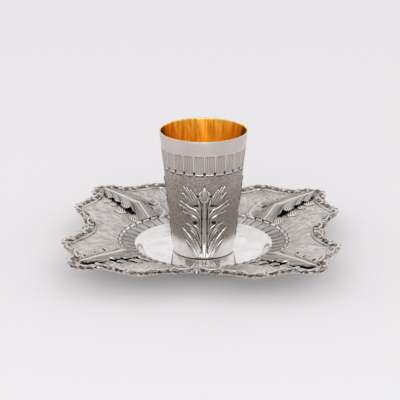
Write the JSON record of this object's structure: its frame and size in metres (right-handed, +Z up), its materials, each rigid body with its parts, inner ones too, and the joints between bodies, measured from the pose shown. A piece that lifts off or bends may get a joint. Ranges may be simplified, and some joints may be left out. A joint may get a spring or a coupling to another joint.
{
  "type": "kiddush cup with saucer",
  "caption": "Tapered silver kiddush cup, gilt inside, with tongues and acanthus on its wall, on a matching shaped saucer with a cast border and corner leaves.",
  "frame": {"origin": "centre of the saucer's underside, on the surface that the set stands on", "axes": "+Z up through the cup; the saucer's four straight sides face +X, +Y, -X and -Y, and its corners lie on the diagonals"},
  "size_m": [0.178, 0.178, 0.0837],
  "materials": {
    "cup_silver": "chased silver, polished at the rim and foot and matte between, with a polished gilt inside",
    "dish_silver": "raised sheet silver: mirror-polished well, ribbed ring and brim brushed in wavy circles",
    "cast_silver": "cast and chased silver, polished on its high places and oxidised dark in its hollows"
  },
  "bodies": {
    "root": {"cup": "cup_silver", "saucer_dish": "dish_silver", "saucer_border": "cast_silver", "corner_leaf_back_right": "cast_silver", "corner_leaf_back_left": "cast_silver", "corner_leaf_front_left": "cast_silver", "corner_leaf_front_right": "cast_silver"}
  },
  "joints": []
}
